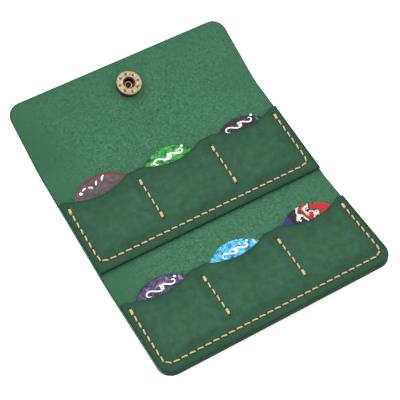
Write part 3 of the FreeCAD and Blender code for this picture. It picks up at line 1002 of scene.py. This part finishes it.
def suede_material():
    """Flesh side: napped, with a fine fibre, darker flecks and slow patches."""
    sh = Shader("suede")
    patches = sh.noise(0.05, 3.0, 0.55)
    mottle = sh.noise(0.75, 4.0, 0.62)
    nap = sh.noise(2.6, 3.0, 0.7, 0.6)
    flecks = sh.noise(1.15, 2.0, 0.6, 0.8)
    sh.colour = sh.ramp(mottle, (0.3, SUEDE_DARK), (0.52, SUEDE_MID), (0.72, SUEDE_LIGHT))
    sh.tint(SUEDE_SHADE, patches, (0.35, 0.65), (0.0, 0.3))
    sh.tint(SUEDE_FLECK, nap, (0.36, 0.6), (0.45, 0.0))
    clusters = sh.range(sh.noise(0.16, 2.0, 0.5), 0.4, 0.62, 0.25, 1.0)
    flecked = sh.math("MULTIPLY", sh.range(flecks, 0.56, 0.67, 0.0, 0.8), clusters)
    sh.mix(flecked, SUEDE_FLECK)
    # Darker near the cut edges, and towards the left side.
    sh.tint(SUEDE_SHADE, "gap", (0.3, 3.5), (0.25, 0.0))
    sh.tint(SUEDE_SHADE, "gap", (0.0, 24.0), (0.45, 0.0))
    sh.tint(SUEDE_SHADE, sh.across(), (-54.0, -28.0), (0.9, 0.0))
    height = sh.math("ADD", sh.math("MULTIPLY", mottle, 0.6), nap)
    return sh.finish(
        Roughness=sh.spread(nap, 0.86, 0.97), Specular_IOR_Level=0.1,
        Sheen_Weight=0.12, Sheen_Roughness=0.45, Sheen_Tint=(0.4, 0.8, 0.5, 1),
        Normal=sh.bump(height, 0.55, 0.00022),
    )


def grain_material(name, dark, mid, light, deep, wear):
    """Grain side: smooth dyed leather with a fine pebble, a little wax shine, and painted shade along the seams and
    in the needle holes.
    """
    sh = Shader(name)
    patches = sh.noise(0.07, 3.0, 0.5)
    clouds = sh.noise(0.32, 3.0, 0.55)
    pores = sh.node("TexVoronoi", Vector=sh.spot, Scale=2.3).outputs["Distance"]
    fine = sh.noise(4.0, 2.0, 0.5)
    sh.colour = sh.ramp(clouds, (0.2, dark), (0.5, mid), (0.8, light))
    sh.tint(dark, patches, (0.38, 0.7), (0.0, 0.3))
    sh.tint(deep, pores, (0.0, 0.16), (0.2, 0.0))
    # Painted shade along the seams, where the leather is pulled in between its swells.
    sh.tint(dark, "seam", (0.2, 5.0), (0.45, 0.0))
    sh.tint(deep, "gap", (0.2, 1.6), (0.5, 0.0))
    sh.tint(deep, "gap", (0.0, 14.0), (0.35, 0.0))
    # Painted shade in the needle holes.
    sh.tint(HOLE_PAINTED_SHADE, "hole", (0.25, 0.7), (0.0, 0.9))
    sh.tint(light, fine, (0.6, 0.75), (0.0, wear))
    height = sh.math("ADD", sh.range(pores, 0.0, 0.4), sh.math("MULTIPLY", fine, 0.4))
    return sh.finish(
        Roughness=sh.spread(clouds, 0.5, 0.62), Specular_IOR_Level=0.08,
        Normal=sh.bump(height, 0.3, 0.00012),
    )


def cut_edge_material():
    """Cut edge: the fibres of the hide, dyed dark and rubbed down, with painted light on the edges at the two
    sides.
    """
    sh = Shader("cut_edge")
    fibres = sh.noise(1.2, 4.0, 0.6, at=sh.scaled((0.5, 0.5, 5.0)))
    specks = sh.noise(3.0, 2.0, 0.6)
    sh.colour = sh.ramp(fibres, (0.3, EDGE_DARK), (0.7, EDGE_LIGHT))
    sh.tint(EDGE_DARK, specks, (0.55, 0.7), (0.0, 0.4))
    side = sh.math("ABSOLUTE", sh.across())
    # Painted light: the cut edges at the two sides are painted lighter than those at the ends.
    sh.tint(EDGE_PAINTED_LIGHT, side, (HALF_W - 0.6, HALF_W - 0.2), (0.0, 0.7))
    return sh.finish(
        Roughness=sh.spread(fibres, 0.55, 0.8), Specular_IOR_Level=0.12,
        Normal=sh.bump(fibres, 0.5, 0.00015),
    )


def thread_material():
    """Waxed linen thread: golden, with fibres along the twist, and painted shade down its sides and towards its
    ends.
    """
    sh = Shader("waxed_thread")
    fibres = sh.noise(5.0, 3.0, 0.6, 0.4)
    stain = sh.noise(0.5, 2.0, 0.5)
    sh.colour = sh.ramp(fibres, (0.3, THREAD_DARK), (0.55, THREAD_MID), (0.75, THREAD_LIGHT))
    sh.tint(THREAD_DARK, stain, (0.45, 0.7), (0.0, 0.2))
    # Painted shade: orange-brown down the strand's sides and towards its ends, where it dives into the holes.
    sh.tint(THREAD_SHADE, "crest", (0.2, 0.72), (0.95, 0.0))
    return sh.finish(
        Roughness=sh.spread(fibres, 0.38, 0.6), Specular_IOR_Level=0.45,
        Normal=sh.bump(fibres, 0.35, 0.0001),
    )


def brass_material(name, light, warm, pink, dark, side):
    """Antique brass: patches of warm and pale metal, rubbed bright, with dark patina in the recesses, painted shade
    in the socket's bore, on its walls and down the post's hole, and redder sides."""
    sh = Shader(name)
    patches = sh.noise(0.4, 3.0, 0.6, 0.8)
    tints = sh.noise(1.1, 3.0, 0.6)
    scratches = sh.noise(6.0, 3.0, 0.7)
    sh.colour = sh.ramp(patches, (0.36, warm), (0.5, light), (0.62, pink))
    sh.tint(dark, tints, (0.54, 0.68), (0.0, 0.4))
    sh.tint(side, "steep", (0.55, 0.95), (0.0, 0.9))
    # recess carries dark patina in the dots and grooves, and painted shade in the holes and off the socket's face.
    sh.tint(dark, "recess", (0.15, 0.8), (0.0, 0.95))
    rough = sh.math("ADD", sh.spread(patches, 0.26, 0.42), sh.range(scratches, 0.5, 0.8, 0.0, 0.15))
    metal = sh.range(sh.attribute("steep"), 0.55, 0.95, 0.85, 0.25)
    return sh.finish(Metallic=metal, Roughness=rough, Normal=sh.bump(scratches, 0.25, 0.00006))


def steel_material():
    """Drawn spring wire, dark and polished."""
    sh = Shader("spring_steel")
    drawn = sh.noise(7.0, 2.0, 0.6)
    sh.colour = sh.ramp(drawn, (0.3, srgb(30, 28, 26)), (0.7, srgb(74, 70, 62)))
    return sh.finish(Metallic=1.0, Roughness=sh.spread(drawn, 0.15, 0.3), Normal=sh.bump(drawn, 0.2, 0.00005))


def pearl_material(name, stops, scale, twist, glint=0.4, rim=None, rim_width=0.6):
    """Swirled pearl celluloid: folded, streaky clouds under a hard polish, and a rim of another colour if given.
    stops are (position, red, green, blue)."""
    sh = Shader(name, "local")
    folds = sh.noise(scale, 3.0, 0.5, twist, at=sh.scaled((1.0, 1.6, 1.0)))
    glints = sh.noise(0.8, 2.0, 0.5, 0.8)
    tones = [(at, srgb(*tone)) for at, *tone in stops]
    sh.colour = sh.ramp(folds, *tones)
    sh.tint(tones[-1][1], glints, (0.55, 0.78), (0.0, glint))
    if rim:
        sh.tint(rim, "gap", (rim_width * 0.4, rim_width), (0.9, 0.0))
    return sh.finish(
        Roughness=sh.spread(glints, 0.14, 0.26), Specular_IOR_Level=0.2,
        Coat_Weight=0.15, Coat_Roughness=0.08, Normal=sh.bump(folds, 0.1, 0.0001),
    )


def patchwork_material():
    """Ragged upright patches: blue, black, white, red and white again, from left to right."""
    sh = Shader("lower_right_patchwork", "local")
    ragged = sh.noise(0.16, 3.0, 0.55)
    moved = sh.math("ADD", sh.across(), sh.range(ragged, 0.2, 0.8, -8.0, 8.0))
    share = sh.range(moved, -12.0, 12.0)
    blue, black, red = srgb(30, 36, 92), srgb(14, 15, 20), srgb(160, 26, 26)
    white = srgb(190, 188, 184)
    patches = ((0.0, blue), (0.14, black), (0.32, white), (0.44, black), (0.5, red), (0.66, white), (0.72, black),
               (0.78, red))
    sh.colour = sh.ramp(share, *patches, steps=True)
    speckle = sh.noise(1.6, 3.0, 0.6)
    sh.tint(srgb(44, 20, 40), speckle, (0.6, 0.66), (0.0, 0.6))
    return sh.finish(
        Roughness=sh.spread(speckle, 0.16, 0.3), Specular_IOR_Level=0.2,
        Coat_Weight=0.15, Coat_Roughness=0.08, Normal=sh.bump(speckle, 0.08, 0.0001),
    )


def ink_material():
    """Matt white print, a little uneven in its cover."""
    sh = Shader("white_ink")
    cover = sh.noise(3.5, 3.0, 0.6)
    sh.colour = sh.ramp(cover, (0.3, srgb(214, 216, 214)), (0.6, srgb(248, 248, 246)))
    return sh.finish(Roughness=sh.spread(cover, 0.35, 0.5), Normal=sh.bump(cover, 0.1, 0.00005))


SUEDE_DARK = srgb(48, 88, 65)
SUEDE_MID = srgb(61, 107, 80)
SUEDE_LIGHT = srgb(74, 122, 93)
SUEDE_SHADE = srgb(46, 84, 62)
SUEDE_FLECK = srgb(26, 54, 41)
# painted shade for the needle holes
HOLE_PAINTED_SHADE = srgb(20, 22, 12)
EDGE_DARK = srgb(12, 36, 24)
EDGE_LIGHT = srgb(26, 58, 41)
# painted light for the cut edges at the sides
EDGE_PAINTED_LIGHT = srgb(58, 100, 78)
THREAD_DARK = srgb(152, 122, 76)
THREAD_MID = srgb(180, 164, 120)
THREAD_LIGHT = srgb(202, 194, 158)
# painted shade for the thread's sides and ends
THREAD_SHADE = srgb(116, 76, 28)

SUEDE = suede_material()
GRAIN = grain_material("outer_grain", srgb(36, 67, 50), srgb(43, 76, 57), srgb(50, 85, 65), srgb(22, 46, 33), 0.3)
POCKET_GRAIN = grain_material(
    "pocket_grain", srgb(34, 65, 48), srgb(43, 78, 58), srgb(51, 88, 66), srgb(15, 42, 29), 0.2
)
CUT_EDGE = cut_edge_material()
THREAD = thread_material()
BRASS = brass_material("antique_brass", srgb(182, 167, 136), srgb(146, 126, 84), srgb(172, 137, 116),
                       srgb(52, 30, 16), srgb(136, 46, 20))
BRASS_BRIGHT = brass_material("rubbed_brass", srgb(172, 152, 108), srgb(150, 124, 78), srgb(166, 138, 104),
                              srgb(56, 38, 20), srgb(96, 64, 32))
STEEL = steel_material()
INK = ink_material()
PICK_LOOKS = {
    "upper_left": pearl_material(
        "charcoal_red_rim", ((0.35, 62, 52, 56), (0.6, 82, 68, 73), (0.8, 110, 94, 99)),
        0.3, 1.0, 0.3, srgb(102, 22, 40), 1.6),
    "upper_middle": pearl_material(
        "green_pearl", ((0.34, 8, 40, 16), (0.42, 18, 100, 34), (0.49, 34, 150, 54),
                        (0.55, 40, 52, 24), (0.64, 150, 206, 150)), 0.12, 1.2),
    "upper_right": pearl_material(
        "black_pearl", ((0.36, 12, 12, 15), (0.48, 40, 40, 48), (0.58, 18, 17, 22),
                        (0.68, 96, 96, 108)), 0.18, 1.4, 0.3),
    "lower_left": pearl_material(
        "purple_pearl", ((0.36, 22, 18, 34), (0.46, 74, 60, 98), (0.54, 36, 30, 50),
                         (0.66, 140, 122, 168)), 0.18, 1.4, 0.35, srgb(26, 22, 34), 0.9),
    "lower_middle": pearl_material(
        "blue_pearl", ((0.34, 10, 58, 104), (0.43, 30, 134, 182), (0.5, 84, 184, 212),
                       (0.57, 16, 78, 134), (0.66, 176, 216, 224)), 0.16, 1.3, 0.4),
    "lower_right": patchwork_material(),
}

# ==== the object
build_sheets()
for row in ROWS:
    pocket(row)
    for seam in SEAMS[row]:
        thread(row, seam)
    for column in PICKS[row]:
        pick(row, column, PICK_LOOKS[f"{row}_{column}"])
build_socket()
build_cap()
build_spring()
build_stud()

pick_print("upper", "left", dash_marks(), (0, 0), 0)
pick_print("upper", "middle", scrolls(7.4, 6.2), (0.6, -4.9), 3)
pick_print("upper", "right", scrolls(7.0, 6.0), (0.2, -4.0), 4)
pick_print("lower", "left", scrolls(7.0, 6.0), (0.0, -5.4), 4)
pick_print("lower", "middle", scrolls(6.4, 5.4), (1.0, -5.2), 4)


# ==== stage
def floor():
    """A plain pale table top, a hair under the leather."""
    size = 3.0
    mesh = bpy.data.meshes.new("floor")
    corners = [(-size, -size), (size, -size), (size, size), (-size, size)]
    mesh.from_pydata([(x, y, -0.0002) for x, y in corners], [], [(0, 1, 2, 3)])
    obj = bpy.data.objects.new("floor", mesh)
    sh = Shader("pale_floor", None)
    cloud = sh.noise(3.0, 2.0, 0.5, at=sh.node("TexCoord").outputs["Object"])
    sh.colour = sh.ramp(cloud, (0.3, (0.96, 0.96, 0.96, 1)), (0.7, (0.975, 0.975, 0.975, 1)))
    mesh.materials.append(sh.finish(
        Roughness=0.9, Specular_IOR_Level=0.1, Emission_Color=(1, 1, 1, 1), Emission_Strength=0.35,
    ))
    link(obj)


def area_light(name, position, size, power):
    """A round lamp that points at the origin."""
    data = bpy.data.lights.new(name, "AREA")
    data.shape = "DISK"
    data.size = size
    data.energy = power
    obj = bpy.data.objects.new(name, data)
    obj.location = position
    obj.rotation_mode = "QUATERNION"
    obj.rotation_quaternion = (-Vector(position)).to_track_quat("-Z", "Y")
    link(obj)


def lights():
    world = bpy.data.worlds.new("studio")
    world.use_nodes = True
    background = world.node_tree.nodes["Background"]
    background.inputs["Color"].default_value = (1, 1, 1, 1)
    background.inputs["Strength"].default_value = 1.42
    bpy.context.scene.world = world
    area_light("key", (-0.25, 0.5, 0.75), 0.6, 4.0)
    area_light("fill", (0.4, -0.3, 0.8), 0.9, 0.6)


def camera():
    az, el, roll = (math.radians(v) for v in (CAM_AZIMUTH, CAM_ELEVATION, CAM_ROLL))
    back = Vector((math.sin(az) * math.cos(el), -math.cos(az) * math.cos(el), math.sin(el)))
    level = Vector((0, 0, 1)).cross(back).normalized()
    upright = back.cross(level)
    up, across = turned(upright, level, roll)
    data = bpy.data.cameras.new("camera")
    data.lens = CAM_LENS
    data.sensor_width = 36.0
    obj = bpy.data.objects.new("camera", data)
    turn = Matrix((across, up, back)).transposed()
    place_at = (CAM_TARGET + back * CAM_DISTANCE) * MM
    obj.matrix_world = Matrix.Translation(place_at) @ turn.to_4x4()
    data.clip_start = 0.01
    data.clip_end = 20
    link(obj)
    bpy.context.scene.camera = obj


floor()
lights()
camera()
bpy.context.scene.view_settings.view_transform = "Standard"
